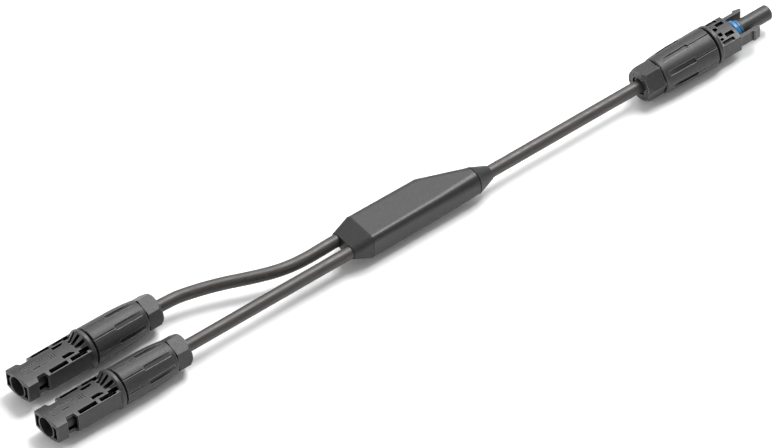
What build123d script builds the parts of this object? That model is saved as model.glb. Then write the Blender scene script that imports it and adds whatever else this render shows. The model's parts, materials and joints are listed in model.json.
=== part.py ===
"""Y-branch lead for photovoltaic panels: two pin connectors join one socket connector.

The lead lies along +X. Stations are measured from the pin connectors' mouth to the
socket connector's tip, and every connector is drawn from its own front towards its cable.
The row's origin is at the bottom centre of the whole lead.
"""
from build123d import *
from math import cos, hypot, pi, radians, sin, tan
import os

# ---------------------------------------------------------------- driving dimensions, mm
LENGTH = 405.8            # mouth of the pin connector on the trunk line to the probe's tip
PITCH = 27.0              # between the axes of the two pin connectors
BRANCH_SETBACK = 5.1      # the second pin connector sits this much further back
ROLL = 8.7                # how far the pin connectors' bodies are turned about their axes
FIT = 0.05                # radial gap of pieces that fit into each other
GAP = 0.3                 # gap between pieces that move past each other

# cable, from the copper outwards
CONDUCTOR_R = 1.2
INSULATION_R = 2.1
JACKET_R = 3.0

# gland: the nut, the clamping cage and the seal behind each housing's ring
RESTING_R = 9.5           # the lead lies on the socket's nut and the pin connectors' rings
RING_GAP = 1.2            # the dark joint between the housing's ring and the nut
BARREL_LENGTH = 28.9
HEX_ACROSS_FLATS = 14.6
PIN_HEX_LENGTH = 7.9
SOCKET_HEX_LENGTH = 9.6
GROOVES = 8               # around each nut
GROOVE_LENGTH = 11.9      # of the narrow ones, from the nut's front
# barrel: radius at the ring, at half length and at the hexagon; corner and groove: degrees
PIN_NUT = {"hex_length": PIN_HEX_LENGTH, "barrel": (9.15, 9.05, 8.1), "seam_depth": 0.1,
           "corner": 17.0, "groove": 30.4}
SOCKET_NUT = {"hex_length": SOCKET_HEX_LENGTH, "barrel": (RESTING_R, 9.38, 8.62),
              "seam_depth": 0.3, "corner": 10.5, "groove": 38.7}
THREAD_CREST_R = 7.4
THREAD_ROOT_R = 6.9
THREAD_PITCH = 1.5
SLEEVE_LENGTH = 17.4      # threaded sleeve behind the ring
CHAMBER_R = 5.6           # the seal's chamber inside that sleeve
CONE_START, CONE_END = 20.2, 34.0
CONE_START_R, CONE_END_R = 7.0, 4.5
CAGE_START = 17.7
CAGE_BORE_R = JACKET_R + 0.15

# pin connector, stations from its mouth
PIN_RING = 37.4           # rear face of the ring
PIN_NECK = 35.4           # and its front, where the flare ends
PIN_FLARE = 30.4
HALF_WIDTH = 8.4
SIDE_HALF_HEIGHT = 4.2
CROWN_HALF_HEIGHT = 5.7
MOUTH_R = 4.8
MOUTH_DEPTH = 6.0
PROBE_BORE_R = 3.85
PROBE_BORE_DEPTH = 23.5
TUBE_R = 5.45             # outside of the wall around the mouth and the probe's bore
LATCH_SLOT_IN, LATCH_SLOT_OUT = 4.3, 7.5
LATCH_SLOT_DEPTH = 13.0
LATCH_SLOT_HALF_HEIGHT = 3.3
PIN_R = 2.0
PIN_TIP = 9.0
PIN_EDGE_WINDOWS = ((13.1, 23.2), (24.85, 33.6))
PIN_TOP_WINDOW = (22.6, 28.8)
EDGE_WINDOW_ACROSS, TOP_WINDOW_ACROSS = (5.8, 7.9), (2.95, 4.95)
POCKET_FLOOR_R, POCKET_WIDTH = 4.9, 1.9

# socket connector, stations from the probe's tip
SHOULDER = 21.6
SOCKET_FLARE, SOCKET_NECK, SOCKET_RING = 30.4, 32.4, 34.3
SOCKET_HALF_WIDTH = 8.0
SOCKET_CROWN = 5.5
PROBE_R = 3.7
SOCKET_BORE_R = 2.0
SEAL_START, SEAL_END = 17.5, 21.2
SEAL_R, SEAL_LIP_R = 5.0, 4.35
FINGER_IN, FINGER_OUT = 5.7, 7.2
FINGER_HALF_HEIGHT = 3.05
FINGER_TIP, BARB_STEP = 10.7, 14.6
FINGER_PIVOT = 24.6
# its windows: floor's height, stations, and how far across they reach
SOCKET_WINDOWS = ((3.4, (23.2, 27.6), (2.4, 4.8)), (3.6, (24.9, 31.3), (5.6, 7.5)),
                  (3.7, (28.2, 30.3), (0.8, 3.0)), (3.7, (29.4, 31.0), (3.8, 5.2)))

# splitter, stations along the lead and distances across it from the trunk line
CAP_TIP, CAP_SEAM, TAPER_START, TRUNK_SEAM, TRUNK_TIP = 168.8, 177.9, 215.4, 238.3, 246.6
SPLITTER_LOW = -5.35
SPLITTER_HALF_HEIGHT = 6.5
# its sections: station, far side, and how round the long edges are there
SPLITTER_SECTIONS = ((CAP_SEAM, 14.2, 3.0), (TAPER_START, 14.2, 3.7), (TRUNK_SEAM, 5.9, 5.0))
WALL = 1.3
BRANCH_ENTRY = 9.45       # where the bent cable meets the splitter
SPLICE_Y = 3.2            # where its conductor meets the trunk's
SPLICE = (204.0, 220.0)

# the bent cable's route from its connector into the splitter, (station, across)
BENT_ROUTE = [(87.2, 27.0), (99.1, 24.7), (112.5, 20.5), (127.3, 14.1), (139.3, 10.15),
              (151.2, 8.95), (166.1, BRANCH_ENTRY)]


# ---------------------------------------------------------------- places
def at(station, across):
    """A point on the level of all the axes."""
    return (station - LENGTH / 2, across - PITCH / 2, RESTING_R)


def pin_front(number, roll=0.0):
    """The mouth plane of pin connector 1 or 2: its normal runs back along the cable."""
    place = [at(0, 0), at(BRANCH_SETBACK, PITCH)][number - 1]
    return Plane(place, x_dir=(0, cos(radians(roll)), -sin(radians(roll))), z_dir=(1, 0, 0))


SOCKET_FRONT = Plane(at(LENGTH, 0), x_dir=(0, -1, 0), z_dir=(-1, 0, 0))
LEVEL = Plane(at(0, 0), x_dir=(1, 0, 0), z_dir=(0, 0, 1))


def lengthwise(front, turn=0.0):
    """A plane through a connector's axis: x is the station, y the distance from the axis."""
    out = front.x_dir * cos(radians(turn)) + front.y_dir * sin(radians(turn))
    return Plane(front.origin, x_dir=front.z_dir, z_dir=front.z_dir.cross(out))


def over(front, height):
    """A plane parallel to the flat of a connector: x is the station, y runs across."""
    return Plane(front.origin + front.y_dir * height, x_dir=front.z_dir, z_dir=front.y_dir)


def spun(front, points, mode=Mode.ADD):
    """Turn an outline of (station, radius) points about the connector's axis."""
    with BuildSketch(lengthwise(front)) as outline:
        with BuildLine():
            Polyline(*points, close=True)
        make_face()
    revolve(outline.sketch, axis=Axis(front.origin, front.z_dir), mode=mode)


def finish(part, name):
    """Label a finished piece and write it."""
    part.label = name
    export_step(part, f"parts/{name}.step")


# ---------------------------------------------------------------- gland pieces
def cone_r(back):
    """Radius of the nut's inner cone, from the distance behind the ring."""
    slope = (CONE_END_R - CONE_START_R) / (CONE_END - CONE_START)
    return CONE_START_R + slope * (back - CONE_START)


def make_nut(name, front, ring, hex_length, barrel, seam_depth, corner, groove):
    """Gland nut: grooved barrel, hexagon, and a bore that ends in the clamping cone."""
    start = ring + RING_GAP
    seam = start + BARREL_LENGTH
    rear = seam + hex_length
    half = start + BARREL_LENGTH / 2
    middle = start + GROOVE_LENGTH
    front_r, middle_r, end_r = barrel
    edge, soft = 0.3, 0.5
    flat_r = HEX_ACROSS_FLATS / 2
    step, dish = 0.6, 0.75    # depths of the narrow grooves and of the recesses behind them

    with BuildPart() as nut:
        with BuildSketch(lengthwise(front)):
            with BuildLine():
                Polyline((seam - soft, end_r), (seam, end_r - soft), (seam, 0), (start, 0),
                         (start, front_r - edge), (start + edge, front_r), (half, middle_r))
                TangentArc((half, middle_r), (seam - soft, end_r),
                           tangent=(half - start, middle_r - front_r))
            make_face()
        revolve(axis=Axis(front.origin, front.z_dir))

        # hexagon with its corners chamfered towards the cable and a fine groove at the barrel
        with BuildSketch(front.offset(seam)) as hexagon:
            RegularPolygon(flat_r, 6, major_radius=False, rotation=corner)
            fillet(hexagon.vertices(), edge)
        extrude(amount=hex_length)
        spun(front, [(rear - 1.8, 8.4), (rear, flat_r + 0.05), (rear + 1, flat_r + 0.05),
                     (rear + 1, 9), (rear - 1.8, 9)], Mode.SUBTRACT)
        seam_r = flat_r - seam_depth
        spun(front, [(seam, seam_r), (seam, 9), (seam + 0.4, 9), (seam + 0.4, seam_r)],
             Mode.SUBTRACT)

        # narrow grooves on the front, then wider recesses that run out before the hexagon
        for number in range(GROOVES):
            side = lengthwise(front, groove + number * 360 / GROOVES)
            with BuildSketch(side):
                with BuildLine():
                    Polyline((start - 1, front_r - step), (middle, middle_r - step), (middle, 12),
                             (start - 1, 12), close=True)
                make_face()
            extrude(amount=0.32, both=True, mode=Mode.SUBTRACT)
            with BuildSketch(side):
                with BuildLine():
                    Polyline((middle, middle_r - dish), (seam - 7, (middle_r + end_r) / 2 - dish + 0.1),
                             (seam - 2.2, end_r + 0.1), (seam - 2.2, 12), (middle, 12), close=True)
                make_face()
            extrude(amount=1.15, both=True, mode=Mode.SUBTRACT)

        # thread bore, shoulder, clamping cone and cable hole
        bore = THREAD_CREST_R + 2 * FIT
        spun(front, [(start - 1, 0), (start - 1, bore), (ring + CONE_START - 0.5, bore),
                     (ring + CONE_START, CONE_START_R), (ring + CONE_END, CONE_END_R),
                     (rear + 1, CONE_END_R), (rear + 1, 0)], Mode.SUBTRACT)

        # short notches in the rear face, one towards each corner
        for turn in range(0, 360, 60):
            with BuildSketch(lengthwise(front, corner + turn)):
                with Locations((rear, 5.9)):
                    Rectangle(1.8, 1.4)
            extrude(amount=0.35, both=True, mode=Mode.SUBTRACT)
    finish(nut.part, name)


def make_cage(name, front, ring, hex_length):
    """Clamping cage: a collar and six fingers that the nut's cone presses on the cable."""
    end = ring + RING_GAP + BARREL_LENGTH + hex_length - 0.7
    knee = CONE_START + 0.6
    tail = CONE_END - 0.4
    with BuildPart() as cage:
        spun(front, [(ring + CAGE_START, CAGE_BORE_R), (ring + CAGE_START, 6.6),
                     (ring + knee, cone_r(knee) - GAP - FIT),
                     (ring + tail, cone_r(tail) - GAP - FIT), (end, cone_r(tail) - GAP - FIT),
                     (end, CAGE_BORE_R)])
        for turn in range(0, 180, 60):
            with BuildSketch(lengthwise(front, turn)):
                with Locations((ring + knee + 0.2, 0)):
                    Rectangle(40, 20, align=(Align.MIN, Align.CENTER))
            extrude(amount=0.4, both=True, mode=Mode.SUBTRACT)
    finish(cage.part, name)


def make_cable_seal(name, front, ring, start):
    """Ribbed rubber sleeve that seals the housing's chamber on the cable."""
    end = ring + SLEEVE_LENGTH - 0.6
    rib_r, root_r, ribs = CHAMBER_R - FIT, CHAMBER_R - 0.6, 5
    pitch = (end - start) / ribs
    outline = [(start, JACKET_R + FIT)]
    for rib in range(ribs):
        foot = start + rib * pitch
        outline += [(foot, root_r), (foot + 0.3 * pitch, rib_r), (foot + 0.7 * pitch, rib_r)]
    outline += [(end, root_r), (end, JACKET_R + FIT)]
    with BuildPart() as seal:
        spun(front, outline)
    finish(seal.part, name)


def sleeve_outline(ring, neck, ring_r):
    """Outline of the ring and the threaded sleeve behind it, from neck to the sleeve's end."""
    end = ring + SLEEVE_LENGTH
    outline = [(neck, ring_r - 0.4), (neck + 0.4, ring_r), (ring - 0.3, ring_r),
               (ring, ring_r - 0.3), (ring, THREAD_ROOT_R)]
    for turn in range(8):
        crest = ring + 3.0 + turn * THREAD_PITCH
        outline += [(crest, THREAD_ROOT_R), (crest + 0.45, THREAD_CREST_R),
                    (crest + 0.75, THREAD_CREST_R), (crest + 1.2, THREAD_ROOT_R)]
    return outline + [(end, THREAD_ROOT_R), (end, 0)]


# ---------------------------------------------------------------- pin connector
def section(plane, half_width, side, crown, soft):
    """Draw the flat-sided outline with gently crowned top and bottom on a plane."""
    with BuildSketch(plane) as outline:
        with BuildLine():
            Line((half_width, -side), (half_width, side))
            ThreePointArc((half_width, side), (0, crown), (-half_width, side))
            Line((-half_width, side), (-half_width, -side))
            ThreePointArc((-half_width, -side), (0, -crown), (half_width, -side))
        make_face()
        fillet(outline.vertices(), soft)
    return outline.sketch


def windows(front, height, floor, stations, low, high):
    """Cut a pair of windows from the flat down to a floor, between two distances across."""
    length, width = stations[1] - stations[0], high - low
    middle = (low + high) / 2
    with BuildSketch(over(front, height)) as pair:
        with Locations((sum(stations) / 2, middle), (sum(stations) / 2, -middle)):
            RectangleRounded(length, width, 0.25)
    extrude(pair.sketch, amount=floor - height, mode=Mode.SUBTRACT)


def pointed_windows(front, height, floor, stations, low, high):
    """The same with the inner rear corner cut off."""
    start, end = stations
    bevel = 0.45 * (high - low)
    for side in (1, -1):
        outline = [(start, low), (end - 2 * bevel, low), (end, high - bevel), (end, high),
                   (start, high)]
        with BuildSketch(over(front, height)) as window:
            with BuildLine():
                Polyline(*[(station, side * across) for station, across in outline], close=True)
            make_face()
        extrude(window.sketch, amount=floor - height, mode=Mode.SUBTRACT)


def flare_pockets(front, middle_turn, stations, floor, width):
    """Cut the deep pockets between the flare's ribs."""
    for turn in (-50, -25, 0, 25, 50):
        with BuildSketch(lengthwise(front, middle_turn + turn)) as pocket:
            with Locations((sum(stations) / 2, floor)):
                Rectangle(stations[1] - stations[0], 8, align=(Align.CENTER, Align.MIN))
        extrude(pocket.sketch, amount=width / 2, both=True, mode=Mode.SUBTRACT)


def make_pin_housing(name, number):
    """Housing that takes the other connector's probe and latches."""
    front = pin_front(number, ROLL)
    chamber = PIN_RING + 1.4
    top = CROWN_HALF_HEIGHT + 0.3
    with BuildPart() as housing:
        outline = section(front, HALF_WIDTH, SIDE_HALF_HEIGHT, CROWN_HALF_HEIGHT, 0.5)
        extrude(outline, amount=PIN_NECK)
        chamfer(housing.faces().sort_by(Axis(front.origin, front.z_dir))[0].edges(), 0.35)
        spun(front, [(PIN_FLARE, 0), (PIN_FLARE, 5.3)]
             + sleeve_outline(PIN_RING, PIN_NECK, RESTING_R))

        # mouth, probe bore, contact seat and seal chamber on the axis
        spun(front, [(-1, 0), (-1, MOUTH_R), (MOUTH_DEPTH, MOUTH_R),
                     (MOUTH_DEPTH + 0.6, PROBE_BORE_R), (PROBE_BORE_DEPTH, PROBE_BORE_R),
                     (PROBE_BORE_DEPTH, 2.6), (28.0, 2.6), (28.0, 3.1), (chamber, 3.1),
                     (chamber, CHAMBER_R), (60, CHAMBER_R), (60, 0)], Mode.SUBTRACT)

        # channels for the latch fingers, curved around the tube
        middle = (LATCH_SLOT_IN + LATCH_SLOT_OUT) / 2
        with BuildSketch(front):
            with Locations((middle, 0), (-middle, 0)):
                Rectangle(LATCH_SLOT_OUT - LATCH_SLOT_IN, 2 * LATCH_SLOT_HALF_HEIGHT)
            Circle(TUBE_R, mode=Mode.SUBTRACT)
        extrude(amount=LATCH_SLOT_DEPTH, mode=Mode.SUBTRACT)

        # notches in the sides that the fingers' barbs snap into
        floor = TUBE_R + 0.25
        for turn in (0, 180):
            with BuildSketch(lengthwise(front, turn)):
                with BuildLine():
                    Polyline((5.6, 9.2), (6.7, floor), (10.9, floor), (11.9, 9.2), close=True)
                make_face()
            extrude(amount=8, both=True, mode=Mode.SUBTRACT)

        # windows in the top and the bottom, and the pockets of the flare
        for side in (1, -1):
            for stations in PIN_EDGE_WINDOWS:
                windows(front, side * top, side * 1.4, stations, *EDGE_WINDOW_ACROSS)
            pointed_windows(front, side * top, side * 3.3, PIN_TOP_WINDOW, *TOP_WINDOW_ACROSS)
            flare_pockets(front, side * 90, (PIN_FLARE, PIN_NECK - 0.2), POCKET_FLOOR_R,
                          POCKET_WIDTH)

        # shallow strokes, where such a housing carries its marking
        with BuildSketch(over(front, CROWN_HALF_HEIGHT - 0.4)):
            with Locations((10.0, 0.9)):
                Rectangle(12.6, 0.3)
            with Locations((10.0, 1.9)):
                with GridLocations(1.4, 1, 9, 1):
                    Rectangle(0.8, 0.6)
            with Locations((5.0, -1.7), (14.9, -1.7)):
                Rectangle(4.4, 0.4)
            with Locations((10.0, -1.7)):
                SlotOverall(4.2, 1.1)
            with Locations((18.5, 0), (19.7, 0), (20.9, 0)):
                Rectangle(0.55, 3.2)
        extrude(amount=1, mode=Mode.SUBTRACT)
    finish(housing.part, name)


def make_pin_contact(name, number):
    """Turned pin with its collar and crimp barrel."""
    with BuildPart() as contact:
        spun(pin_front(number), [(PIN_TIP, 0), (PIN_TIP, 1.0), (PIN_TIP + 1.2, PIN_R),
                                 (23.0, PIN_R), (23.6, 2.6 - FIT), (27.9, 2.6 - FIT),
                                 (27.9, 2.3), (36.7, 2.3), (36.7, CONDUCTOR_R + FIT),
                                 (30.0, CONDUCTOR_R + FIT), (30.0, 0)])
    finish(contact.part, name)


# ---------------------------------------------------------------- socket connector
def make_socket_housing():
    """Housing with the cylindrical probe and the pockets that hold the latch fingers."""
    front = SOCKET_FRONT
    chamber = SOCKET_RING + 1.4
    top = SOCKET_CROWN + 0.3
    collar_r, collar = 4.15, SEAL_START - 0.3     # the small collar that keeps the seal back
    with BuildPart() as housing:
        shoulder = front.offset(SHOULDER)
        outline = section(shoulder, SOCKET_HALF_WIDTH, SIDE_HALF_HEIGHT, SOCKET_CROWN, 0.4)
        extrude(outline, amount=SOCKET_NECK - SHOULDER)
        chamfer(housing.faces().sort_by(Axis(front.origin, front.z_dir))[0].edges(), 0.25)
        spun(front, [(SOCKET_FLARE, 0), (SOCKET_FLARE, 5.3)]
             + sleeve_outline(SOCKET_RING, SOCKET_NECK, RESTING_R - 0.05))

        # probe with its tip, the collar before the seal and the land behind it
        spun(front, [(0, 0), (0, PROBE_R - 1.0), (0.3, PROBE_R - 0.45), (1.0, PROBE_R),
                     (collar - 0.4, PROBE_R), (collar, collar_r), (collar + 0.25, collar_r),
                     (collar + 0.25, PROBE_R), (SEAL_END + 0.05, PROBE_R), (SEAL_END + 0.05, 4.7),
                     (SHOULDER + 1, 4.7), (SHOULDER + 1, 0)])
        spun(front, [(-1, 0), (-1, 2.2), (1.2, 2.2), (1.2, 2.75), (22.0, 2.75), (22.0, 3.1),
                     (chamber, 3.1), (chamber, CHAMBER_R), (54, CHAMBER_R), (54, 0)],
             Mode.SUBTRACT)

        # pockets for the latch fingers' rounded roots
        for side in (1, -1):
            middle = side * (FINGER_IN + FINGER_OUT) / 2
            root_r = (FINGER_OUT - FINGER_IN) / 2 + FIT
            with BuildSketch(over(front, 0)):
                with Locations((FINGER_PIVOT, middle)):
                    Circle(root_r)
                with Locations((SHOULDER, middle)):
                    Rectangle(2 * (FINGER_PIVOT - SHOULDER) - 1.6, FINGER_OUT - FINGER_IN + 0.5)
                with Locations(((SHOULDER + FINGER_PIVOT) / 2, middle)):
                    Rectangle(FINGER_PIVOT - SHOULDER, 2 * root_r)
            extrude(amount=FINGER_HALF_HEIGHT + 0.25, both=True, mode=Mode.SUBTRACT)

        # windows in the top and the bottom
        for side in (1, -1):
            for floor, stations, across in SOCKET_WINDOWS:
                windows(front, side * top, side * floor, stations, *across)
    finish(housing.part, "female_housing")


def make_latch(name, side):
    """Latch finger with its barb: side is 1 on the +Y side of the lead and -1 on the other."""
    half = (FINGER_OUT - FINGER_IN) / 2
    barb_out, nose = 8.0, 0.6
    outline = [(FINGER_PIVOT, FINGER_OUT), (BARB_STEP, FINGER_OUT), (BARB_STEP, barb_out),
               (BARB_STEP - 0.8, barb_out), (FINGER_TIP, FINGER_OUT + 0.05),
               (FINGER_TIP, FINGER_IN + nose), (FINGER_TIP + 1.0, FINGER_IN),
               (FINGER_PIVOT, FINGER_IN)]
    with BuildPart() as latch:
        with BuildSketch(over(SOCKET_FRONT, 0)):
            with BuildLine():
                Polyline(*[(station, -side * across) for station, across in outline], close=True)
            make_face()
            with Locations((FINGER_PIVOT, -side * (FINGER_IN + half))):
                Circle(half)
        extrude(amount=FINGER_HALF_HEIGHT, both=True)
    finish(latch.part, name)


def make_socket_contact():
    """Slotted socket contact with its collar and crimp barrel."""
    front = SOCKET_FRONT
    with BuildPart() as contact:
        spun(front, [(1.3, SOCKET_BORE_R), (1.3, 2.4), (12.0, 2.4), (12.0, 2.7), (21.9, 2.7),
                     (21.9, 2.3), (32.1, 2.3), (32.1, CONDUCTOR_R + FIT),
                     (26.0, CONDUCTOR_R + FIT), (26.0, 0), (18.0, 0), (18.0, SOCKET_BORE_R)])
        for turn in (0, 90):
            with BuildSketch(lengthwise(front, turn)):
                with Locations((0, 0)):
                    Rectangle(11.0, 12, align=(Align.MIN, Align.CENTER))
            extrude(amount=0.25, both=True, mode=Mode.SUBTRACT)
    finish(contact.part, "female_socket_contact")


def make_contact_spring():
    """Thin spring sleeve that squeezes the socket contact's fingers."""
    with BuildPart() as spring:
        spun(SOCKET_FRONT, [(2.4, 2.45), (2.4, 2.7), (11.0, 2.7), (11.0, 2.45)])
    finish(spring.part, "female_contact_spring")


def make_face_seal():
    """Blue rubber seal on the probe: a full ring against the shoulder and a thinner lip."""
    groove = SEAL_START + 1.1
    bulge = SEAL_R - 0.25
    with BuildPart() as seal:
        spun(SOCKET_FRONT, [(SEAL_START, PROBE_R + FIT), (SEAL_START, SEAL_LIP_R - 0.3),
                            (SEAL_START + 0.3, SEAL_LIP_R), (SEAL_START + 0.7, SEAL_LIP_R),
                            (groove - 0.1, SEAL_LIP_R - 0.35), (groove + 0.1, SEAL_LIP_R - 0.35),
                            (groove + 0.3, bulge), (groove + 0.75, SEAL_R),
                            (SEAL_END - 0.7, SEAL_R), (SEAL_END - 0.25, bulge),
                            (SEAL_END, SEAL_R - 0.7), (SEAL_END, PROBE_R + FIT)])
    finish(seal.part, "female_face_seal")


# ---------------------------------------------------------------- cables
def corner_radii(route):
    """As large an arc at each corner as its two runs allow."""
    radii = []
    for before, corner, after in zip(route, route[1:], route[2:]):
        run_in, run_out = Vector(*corner) - Vector(*before), Vector(*after) - Vector(*corner)
        half_turn = radians(run_in.get_angle(run_out)) / 2
        radii.append(0.45 * min(run_in.length, run_out.length) / tan(half_turn))
    return radii


def layer(route, outer, inner=0.0):
    """One layer of a cable along a route of (station, across) points."""
    points = [at(*point) for point in route]
    heading = Vector(*points[1]) - Vector(*points[0])
    with BuildPart() as tube:
        with BuildLine():
            if len(points) > 2:
                FilletPolyline(*points, radius=corner_radii(points))
            else:
                Line(*points)
        with BuildSketch(Plane(points[0], x_dir=(0, 0, 1), z_dir=heading)):
            Circle(outer)
            if inner:
                Circle(inner, mode=Mode.SUBTRACT)
        sweep()
    return tube.part


# ends of the copper, the insulation and the jacket, from each connector's front
PIN_ENDS = (30.2, 36.9, 40.0)
SOCKET_ENDS = (26.2, 32.3, 36.7)
# where the same layers end inside the splitter
BRANCH_TAILS = (211.8, 182.2, 180.5)
TRUNK_TAILS = (212.2, 231.0, 235.0)
LAYERS = (("conductor", CONDUCTOR_R, 0.0), ("insulation", INSULATION_R, CONDUCTOR_R + FIT),
          ("jacket", JACKET_R, INSULATION_R + FIT))


def cable_routes():
    """The routes of the three cables' three layers, by cable name."""
    straight = [[(start, 0), (tail, 0)] for start, tail in zip(PIN_ENDS, BRANCH_TAILS)]
    trunk = [[(tail, 0), (LENGTH - start, 0)] for start, tail in zip(SOCKET_ENDS, TRUNK_TAILS)]
    bent = [[(BRANCH_SETBACK + start, PITCH)] + BENT_ROUTE + [(tail, BRANCH_ENTRY)]
            for start, tail in zip(PIN_ENDS, BRANCH_TAILS)]
    bent[0][-1:] = [(187.5, BRANCH_ENTRY), (196.5, SPLICE_Y), (219.0, SPLICE_Y)]
    return {"branch_cable_1": straight, "branch_cable_2": bent, "trunk_cable": trunk}


def make_cables():
    """Copper, insulation and jacket of each cable, each a piece of its own."""
    for cable, routes in cable_routes().items():
        for (name, outer, inner), route in zip(LAYERS, routes):
            tube = layer(route, outer, inner)
            run = sum(hypot(b[0] - a[0], b[1] - a[1]) for a, b in zip(route, route[1:]))
            area = pi * (outer ** 2 - inner ** 2)
            print(cable, name, "route", round(run, 1), "centre line", round(tube.volume / area, 1))
            finish(tube, f"{cable}_{name}")
    bent = [at(*point) for point in cable_routes()["branch_cable_2"][2]]
    print("arc radii of the bent jacket:", [round(radius, 1) for radius in corner_radii(bent)])


# ---------------------------------------------------------------- splitter
def across_splitter(station, low, high, height, soft):
    """Draw a rounded rectangle across the splitter."""
    with BuildSketch(Plane(at(station, (low + high) / 2), x_dir=(0, 1, 0),
                           z_dir=(1, 0, 0))) as outline:
        RectangleRounded(high - low, height, soft)
    return outline.sketch


def splitter_block(inset):
    """The splitter's body as a solid, shrunk by an inset."""
    outlines = [across_splitter(station, SPLITTER_LOW + inset, high - inset,
                                2 * (SPLITTER_HALF_HEIGHT - inset), soft - inset)
                for station, high, soft in SPLITTER_SECTIONS]
    return Solid.make_loft([outline.faces()[0].outer_wire() for outline in outlines], ruled=True)


def cap(tip, tip_high, section):
    """End cap from the cables' outline at its tip to just proud of the sleeve."""
    hug, proud = JACKET_R + 0.45, 0.12
    seam, high, soft = section
    ends = [across_splitter(tip, -hug, tip_high + hug, 2 * hug, hug - 0.02),
            across_splitter(seam, SPLITTER_LOW - proud, high + proud,
                            2 * (SPLITTER_HALF_HEIGHT + proud), soft + proud)]
    ends.sort(key=lambda end: end.center().X)
    return Solid.make_loft([end.faces()[0].outer_wire() for end in ends])


def make_splitter():
    """Sleeve, two end caps, crimp splice and potting."""
    with BuildPart() as sleeve:
        add(splitter_block(0))
        add(splitter_block(WALL), mode=Mode.SUBTRACT)
        for end in (sleeve.faces().sort_by(Axis.X)[0], sleeve.faces().sort_by(Axis.X)[-1]):
            chamfer(end.outer_wire().edges(), 0.4)
    finish(sleeve.part, "splitter_sleeve")

    with BuildPart() as branch_cap:
        add(cap(CAP_TIP, BRANCH_ENTRY, SPLITTER_SECTIONS[0]))
        with BuildSketch(Plane(at(CAP_TIP - 1, 0), x_dir=(0, 1, 0), z_dir=(1, 0, 0))):
            with Locations((0, 0), (BRANCH_ENTRY, 0)):
                Circle(JACKET_R + 2 * FIT)
        extrude(amount=CAP_SEAM - CAP_TIP + 2, mode=Mode.SUBTRACT)
    finish(branch_cap.part, "splitter_branch_cap")

    with BuildPart() as trunk_cap:
        add(cap(TRUNK_TIP, 0, SPLITTER_SECTIONS[-1]))
        with BuildSketch(Plane(at(TRUNK_SEAM - 1, 0), x_dir=(0, 1, 0), z_dir=(1, 0, 0))):
            Circle(JACKET_R + FIT)
        extrude(amount=TRUNK_TIP - TRUNK_SEAM + 2, mode=Mode.SUBTRACT)
    finish(trunk_cap.part, "splitter_trunk_cap")

    with BuildPart() as ferrule:
        with BuildSketch(Plane(at(SPLICE[0], SPLICE_Y / 2), x_dir=(0, 1, 0), z_dir=(1, 0, 0))):
            SlotCenterToCenter(SPLICE_Y, 4.4)
            with Locations((SPLICE_Y / 2, 0), (-SPLICE_Y / 2, 0)):
                Circle(CONDUCTOR_R + FIT, mode=Mode.SUBTRACT)
        extrude(amount=SPLICE[1] - SPLICE[0])
    finish(ferrule.part, "splice_ferrule")

    with BuildPart() as potting:
        add(splitter_block(WALL + FIT))
        for routes in cable_routes().values():
            for (_, outer, _), route in zip(LAYERS, routes):
                add(layer(route, outer + FIT), mode=Mode.SUBTRACT)
        with BuildSketch(Plane(at(SPLICE[0] - FIT, SPLICE_Y / 2), x_dir=(0, 1, 0),
                               z_dir=(1, 0, 0))):
            SlotCenterToCenter(SPLICE_Y, 4.4 + 2 * FIT)
        extrude(amount=SPLICE[1] - SPLICE[0] + 2 * FIT, mode=Mode.SUBTRACT)
    finish(potting.part, "splitter_potting")


os.makedirs("parts", exist_ok=True)
for connector in (1, 2):
    label = f"male_{connector}"
    make_pin_housing(f"{label}_housing", connector)
    make_pin_contact(f"{label}_pin_contact", connector)
    make_cable_seal(f"{label}_cable_seal", pin_front(connector), PIN_RING, PIN_RING + 2.9)
    make_cage(f"{label}_clamp_cage", pin_front(connector), PIN_RING, PIN_HEX_LENGTH)
    make_nut(f"{label}_nut", pin_front(connector), PIN_RING, **PIN_NUT)
make_socket_housing()
make_latch("female_latch_left", 1)
make_latch("female_latch_right", -1)
make_socket_contact()
make_contact_spring()
make_face_seal()
make_cable_seal("female_cable_seal", SOCKET_FRONT, SOCKET_RING, SOCKET_RING + 2.9)
make_cage("female_clamp_cage", SOCKET_FRONT, SOCKET_RING, SOCKET_HEX_LENGTH)
make_nut("female_nut", SOCKET_FRONT, SOCKET_RING, **SOCKET_NUT)
make_cables()
make_splitter()
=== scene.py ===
"""Looks of the photovoltaic Y-branch lead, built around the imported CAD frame. Metres."""
import json
import math

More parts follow.
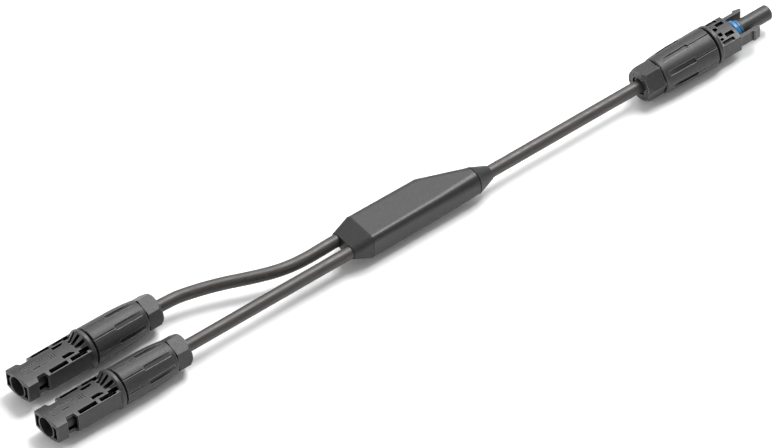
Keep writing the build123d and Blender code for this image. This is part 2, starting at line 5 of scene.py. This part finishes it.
import bpy
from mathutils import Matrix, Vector


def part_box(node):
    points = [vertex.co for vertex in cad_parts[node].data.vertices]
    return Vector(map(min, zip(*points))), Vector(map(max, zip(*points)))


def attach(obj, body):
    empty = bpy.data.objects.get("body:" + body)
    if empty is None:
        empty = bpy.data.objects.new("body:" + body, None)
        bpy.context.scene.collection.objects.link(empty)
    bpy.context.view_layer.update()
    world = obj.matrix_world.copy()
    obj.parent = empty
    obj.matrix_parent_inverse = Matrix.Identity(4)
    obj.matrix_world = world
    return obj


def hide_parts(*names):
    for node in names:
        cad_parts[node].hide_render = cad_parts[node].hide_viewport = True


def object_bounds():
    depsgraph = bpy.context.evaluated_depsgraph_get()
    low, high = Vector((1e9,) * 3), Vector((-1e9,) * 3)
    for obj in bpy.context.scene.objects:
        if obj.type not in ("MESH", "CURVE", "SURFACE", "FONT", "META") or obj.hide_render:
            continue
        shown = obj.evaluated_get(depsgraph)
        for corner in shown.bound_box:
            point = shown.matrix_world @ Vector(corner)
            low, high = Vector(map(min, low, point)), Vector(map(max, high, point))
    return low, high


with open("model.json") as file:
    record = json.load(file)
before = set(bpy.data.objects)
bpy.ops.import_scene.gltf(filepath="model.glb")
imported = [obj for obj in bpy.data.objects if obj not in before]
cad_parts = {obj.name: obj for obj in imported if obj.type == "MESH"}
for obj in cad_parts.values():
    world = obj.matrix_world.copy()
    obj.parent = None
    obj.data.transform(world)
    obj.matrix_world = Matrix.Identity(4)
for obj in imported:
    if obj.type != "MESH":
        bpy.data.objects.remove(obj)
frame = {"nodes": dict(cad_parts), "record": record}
CAD_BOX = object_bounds()
LOW = CAD_BOX[0]
MM = 0.001

# the frame's own levels: the trunk line runs through the probe, the second connector beside it
AXIS_Z = sum(corner.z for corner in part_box("female_housing")) / 2
TRUNK_Y = sum(corner.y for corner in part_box("female_face_seal")) / 2
MOUTH_X = LOW.x


def at(station, across):
    """A point on the level of the axes, from the station along the lead and the distance
    across it from the trunk line, both in millimetres."""
    return Vector((MOUTH_X + station * MM, TRUNK_Y + across * MM, AXIS_Z))


# ---------------------------------------------------------------- camera
AZIMUTH, ELEVATION = math.radians(-38.62), math.radians(46.1)
LENS, SENSOR = 900.0, 36.0            # a very long lens, because the view is almost parallel
VIEW_WIDTH = 0.3411                   # what the picture takes in at the object, side to side
AIM = Vector((-0.00316, -0.00124, -0.00269))
CLIP = 0.1, 100.0


def make_camera():
    """A camera at the photograph's viewing angle, looking at AIM."""
    back = Vector((math.sin(AZIMUTH) * math.cos(ELEVATION),
                   -math.cos(AZIMUTH) * math.cos(ELEVATION), math.sin(ELEVATION)))
    data = bpy.data.cameras.new("camera")
    data.lens, data.sensor_width = LENS, SENSOR
    data.clip_start, data.clip_end = CLIP
    camera = bpy.data.objects.new("camera", data)
    bpy.context.scene.collection.objects.link(camera)
    camera.location = AIM + back * (LENS * VIEW_WIDTH / SENSOR)
    camera.rotation_mode = "QUATERNION"
    camera.rotation_quaternion = (-back).to_track_quat("-Z", "Y")
    bpy.context.scene.camera = camera


# ---------------------------------------------------------------- node helpers
SHEEN = 0.34                          # specular level of the matt plastics
RECESS = 0.006                        # how far away a wall still darkens a recess: the reach of the painted shade and of the lowered specular level
BEVEL_SAMPLES, OPEN_SAMPLES = 6, 8
EDGE_TURN = 0.99, 0.78                # how far the rounded normal has turned off a full edge
FLOW_TONE, SPECK_TONE, RECESS_SHADE_TONE = 1.25, 2.6, 0.25    # against the plastic's own colour; the third is the painted shade in recesses
EDGE_HIGHLIGHT_GREY = (0.42, 0.42, 0.422)       # painted highlight: the grey the black plastics' edges are painted with, standing in for light caught on them


class Nodes:
    """A material's node tree with short ways to add and join nodes."""

    def __init__(self, name):
        self.material = bpy.data.materials.new(name)
        self.material.use_nodes = True
        self.tree = self.material.node_tree
        self.shader = self.tree.nodes["Principled BSDF"]
        self.place = self.add("ShaderNodeTexCoord").outputs["Object"]

    def add(self, kind, **settings):
        node = self.tree.nodes.new(kind)
        for key, value in settings.items():
            setattr(node, key, value)
        return node

    def link(self, source, target):
        self.tree.links.new(source, target)

    def stretched(self, scale):
        """Object coordinates with a scale of their own along each axis."""
        node = self.add("ShaderNodeMapping")
        node.inputs["Scale"].default_value = scale
        self.link(self.place, node.inputs["Vector"])
        return node.outputs["Vector"]

    def noise(self, scale, detail=2.0, place=None):
        node = self.add("ShaderNodeTexNoise")
        node.inputs["Scale"].default_value = scale
        node.inputs["Detail"].default_value = detail
        self.link(place or self.place, node.inputs["Vector"])
        return node.outputs["Fac"]

    def spread(self, value, low, high, to_low, to_high):
        """Map a range of a value onto another range."""
        node = self.add("ShaderNodeMapRange")
        for key, number in (("From Min", low), ("From Max", high), ("To Min", to_low),
                            ("To Max", to_high)):
            node.inputs[key].default_value = number
        self.link(value, node.inputs["Value"])
        return node.outputs["Result"]

    def mixed(self, share, one, other):
        """Mix two colours, each a colour or a socket."""
        node = self.add("ShaderNodeMix", data_type="RGBA")
        self.link(share, node.inputs["Factor"])
        for value, socket in ((one, node.inputs["A"]), (other, node.inputs["B"])):
            if isinstance(value, tuple):
                socket.default_value = (*value, 1.0)
            else:
                self.link(value, socket)
        return node.outputs["Result"]

    def edges(self, radius):
        """1 along outer edges, 0 on open surfaces and in inner corners: the mask of the painted
        edge highlight.
        """
        soft = self.add("ShaderNodeBevel", samples=BEVEL_SAMPLES)
        soft.inputs["Radius"].default_value = radius
        flat = self.add("ShaderNodeNewGeometry").outputs["Normal"]
        dot = self.add("ShaderNodeVectorMath", operation="DOT_PRODUCT")
        self.link(soft.outputs["Normal"], dot.inputs[0])
        self.link(flat, dot.inputs[1])
        edge = self.spread(dot.outputs["Value"], *EDGE_TURN, 0.0, 1.0)
        outer = self.add("ShaderNodeMath", operation="MULTIPLY")
        self.link(edge, outer.inputs[0])
        self.link(self.spread(self.openness(2 * radius), 0.3, 0.6, 0.0, 1.0), outer.inputs[1])
        return outer.outputs["Value"]

    def openness(self, distance):
        """1 on open surfaces, down to 0 deep inside recesses of that size."""
        node = self.add("ShaderNodeAmbientOcclusion", samples=OPEN_SAMPLES,
                        only_local=True)
        node.inputs["Distance"].default_value = distance
        return node.outputs["AO"]

    def bump(self, height, distance, normal=None):
        node = self.add("ShaderNodeBump")
        node.inputs["Strength"].default_value = 1.0
        node.inputs["Distance"].default_value = distance
        self.link(height, node.inputs["Height"])
        if normal:
            self.link(normal, node.inputs["Normal"])
        return node.outputs["Normal"]

    def rounded(self, radius):
        """The surface normal with softly rounded edges."""
        node = self.add("ShaderNodeBevel", samples=BEVEL_SAMPLES)
        node.inputs["Radius"].default_value = radius
        return node.outputs["Normal"]


def moulded(name, colour, edge_highlight, rough, grain=0.00002, edge=0.00026):
    """Injection-moulded plastic: fine spark-eroded grain, faint flow marks, a painted highlight
    along outer edges and painted shade in recesses.
    """
    n = Nodes(name)
    flow = n.noise(220.0, 3.0, n.stretched((0.35, 1.0, 1.0)))
    speck = n.noise(2400.0, 2.0)
    # flow tone, speckle tone and the painted shade of recesses, each from the plastic's own
    # colour
    tone, pale, deep = (tuple(c * share for c in colour)
                        for share in (FLOW_TONE, SPECK_TONE, RECESS_SHADE_TONE))
    base = n.mixed(n.spread(flow, 0.35, 0.7, 0.0, 1.0), colour, tone)
    base = n.mixed(n.spread(speck, 0.35, 0.65, 1.0, 0.0), base, pale)
    # painted highlight: outer edges mixed towards a lighter grey
    highlit_base = n.mixed(n.edges(edge), base, edge_highlight)
    openness = n.openness(RECESS)
    # painted shade: the colour darkened deep inside recesses
    n.link(n.mixed(n.spread(openness, 0.75, 0.2, 0.0, 1.0), highlit_base, deep),
           n.shader.inputs["Base Color"])
    n.link(n.spread(speck, 0.3, 0.7, rough - 0.05, rough + 0.07), n.shader.inputs["Roughness"])
    n.link(n.spread(openness, 0.2, 0.75, 0.05, SHEEN), n.shader.inputs["Specular IOR Level"])
    fine = n.noise(5200.0, 3.0)
    n.link(n.bump(fine, grain, n.rounded(edge)), n.shader.inputs["Normal"])
    return n.material


def extruded(name, colour, light, rough):
    """Cable jacket: matt, drawn along its length, with dusty mottling."""
    n = Nodes(name)
    drawn = n.noise(1500.0, 3.0, n.stretched((0.06, 1.0, 1.0)))
    dust = n.noise(260.0, 4.0)
    base = n.mixed(n.spread(drawn, 0.3, 0.7, 0.0, 0.8), colour, light)
    n.link(n.mixed(n.spread(dust, 0.45, 0.75, 0.0, 0.35), base, light),
           n.shader.inputs["Base Color"])
    n.link(n.spread(dust, 0.3, 0.7, rough - 0.06, rough + 0.06), n.shader.inputs["Roughness"])
    n.link(n.bump(drawn, 0.00003), n.shader.inputs["Normal"])
    return n.material


def rubber(name, colour, light, rough):
    """Smooth moulded rubber with a faint bloom."""
    n = Nodes(name)
    bloom = n.noise(900.0, 3.0)
    n.link(n.mixed(n.spread(bloom, 0.4, 0.75, 0.0, 1.0), colour, light),
           n.shader.inputs["Base Color"])
    n.shader.inputs["Roughness"].default_value = rough
    n.link(n.bump(n.noise(3000.0), 0.00001), n.shader.inputs["Normal"])
    return n.material


def metal(name, colour, dull, rough):
    """Turned and plated metal with fine rings and dull patches."""
    n = Nodes(name)
    rings = n.noise(4000.0, 2.0, n.stretched((1.0, 0.05, 0.05)))
    patch = n.noise(700.0, 3.0)
    n.link(n.mixed(n.spread(patch, 0.4, 0.7, 0.0, 1.0), colour, dull),
           n.shader.inputs["Base Color"])
    n.shader.inputs["Metallic"].default_value = 1.0
    n.link(n.spread(patch, 0.3, 0.7, rough - 0.05, rough + 0.1), n.shader.inputs["Roughness"])
    n.link(n.bump(rings, 0.000008), n.shader.inputs["Normal"])
    return n.material


def make_materials():
    """One material for each of the record's slots."""
    return {
        # the second colour of each moulded plastic is its painted edge highlight
        "housing_plastic": moulded("housing_plastic", (0.016, 0.016, 0.0165), EDGE_HIGHLIGHT_GREY, 0.37),
        "nut_plastic": moulded("nut_plastic", (0.0135, 0.0135, 0.014), EDGE_HIGHLIGHT_GREY, 0.44,
                               edge=0.00034),
        "cage_plastic": moulded("cage_plastic", (0.020, 0.020, 0.021), (0.05, 0.05, 0.05), 0.45),
        "splitter_plastic": moulded("splitter_plastic", (0.009, 0.009, 0.0095),
                                    (0.08, 0.08, 0.081), 0.36),
        "splitter_cap": moulded("splitter_cap", (0.010, 0.010, 0.0105), (0.06, 0.06, 0.06), 0.46),
        "potting_resin": moulded("potting_resin", (0.020, 0.020, 0.020), (0.03, 0.03, 0.03), 0.3),
        "cable_jacket": extruded("cable_jacket", (0.020, 0.0165, 0.0155), (0.046, 0.040, 0.038),
                                 0.45),
        "cable_insulation": rubber("cable_insulation", (0.50, 0.49, 0.45), (0.6, 0.59, 0.55),
                                   0.45),
        "seal_rubber": rubber("seal_rubber", (0.05, 0.05, 0.055), (0.08, 0.08, 0.085), 0.6),
        "blue_rubber": rubber("blue_rubber", (0.008, 0.105, 0.25), (0.012, 0.15, 0.33), 0.33),
        "tinned_contact": metal("tinned_contact", (0.66, 0.65, 0.62), (0.52, 0.51, 0.49), 0.28),
        "spring_steel": metal("spring_steel", (0.55, 0.56, 0.58), (0.45, 0.46, 0.48), 0.3),
        "copper": metal("copper", (0.75, 0.36, 0.20), (0.55, 0.26, 0.15), 0.3),
    }


def dress(materials):
    """Give every CAD node the material of its slot."""
    for entry in frame["record"]["subparts"]:
        node = frame["nodes"][entry["node"]]
        node.data.materials.clear()
        node.data.materials.append(materials[entry["material_slot"]])


# ---------------------------------------------------------------- cables
CABLE_R = 3.0 * MM
# routes of (station, across) points: the bent one is its tube's, the straight ones are runs
BENT = [(45.1, 27.0), (87.2, 27.0), (99.1, 24.7), (112.5, 20.5), (127.3, 14.1),
        (139.3, 10.15), (151.2, 8.95), (166.1, 9.45), (180.5, 9.45)]
STRAIGHT = [(40.0, 0.0), (110.0, 0.0), (180.5, 0.0)]
TRUNK = [(235.0, 0.0), (302.0, 0.0), (369.1, 0.0)]


def make_cable(name, route, jacket, material):
    """One cable as a smooth curve that stands for its CAD jacket."""
    curve = bpy.data.curves.new(name, "CURVE")
    curve.dimensions = "3D"
    curve.bevel_depth = CABLE_R
    curve.bevel_resolution = 10
    curve.use_fill_caps = True
    spline = curve.splines.new("NURBS")
    spline.points.add(len(route) - 1)
    for point, (station, across) in zip(spline.points, route):
        point.co = (*at(station, across), 1.0)
    spline.order_u = 3
    spline.use_endpoint_u = True
    spline.resolution_u = 24
    cable = bpy.data.objects.new(name, curve)
    bpy.context.scene.collection.objects.link(cable)
    curve.materials.append(material)
    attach(cable, "lead")
    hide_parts(jacket)


# ---------------------------------------------------------------- stage
FLOOR_SIZE, FLOOR_GAP = 60.0, 0.0002
LIGHTS = (("overhead", (0.62, 0.12, 1.30), 0.7, 24.0),     # name, place, side and watts
          ("back", (0.55, 0.80, 1.10), 1.1, 11.0),
          ("side", (-1.05, 0.75, 0.65), 0.5, 4.0))


def make_stage():
    """Plain pale floor and soft studio light."""
    bpy.ops.mesh.primitive_plane_add(size=FLOOR_SIZE, location=(0, 0, LOW.z - FLOOR_GAP))
    floor = bpy.context.object
    floor.name = "floor"
    n = Nodes("floor")
    tone = n.noise(0.8, 2.0)
    n.link(n.mixed(tone, (0.93, 0.93, 0.93), (0.95, 0.95, 0.95)), n.shader.inputs["Base Color"])
    n.shader.inputs["Roughness"].default_value = 0.9
    floor.data.materials.append(n.material)

    world = bpy.data.worlds.new("studio")
    world.use_nodes = True
    world.node_tree.nodes["Background"].inputs["Color"].default_value = (1, 1, 1, 1)
    world.node_tree.nodes["Background"].inputs["Strength"].default_value = 0.5
    bpy.context.scene.world = world

    for name, place, size, power in LIGHTS:
        data = bpy.data.lights.new(name, "AREA")
        data.size, data.energy = size, power
        lamp = bpy.data.objects.new(name, data)
        bpy.context.scene.collection.objects.link(lamp)
        lamp.location = place
        lamp.rotation_mode = "QUATERNION"
        lamp.rotation_quaternion = (-Vector(place)).to_track_quat("-Z", "Y")
    bpy.context.scene.view_settings.view_transform = "Standard"


make_camera()
MATERIALS = make_materials()
dress(MATERIALS)
JACKET = MATERIALS["cable_jacket"]
make_cable("branch_cable_1", STRAIGHT, "branch_cable_1_jacket", JACKET)
make_cable("branch_cable_2", BENT, "branch_cable_2_jacket", JACKET)
make_cable("trunk_cable", TRUNK, "trunk_cable_jacket", JACKET)
make_stage()
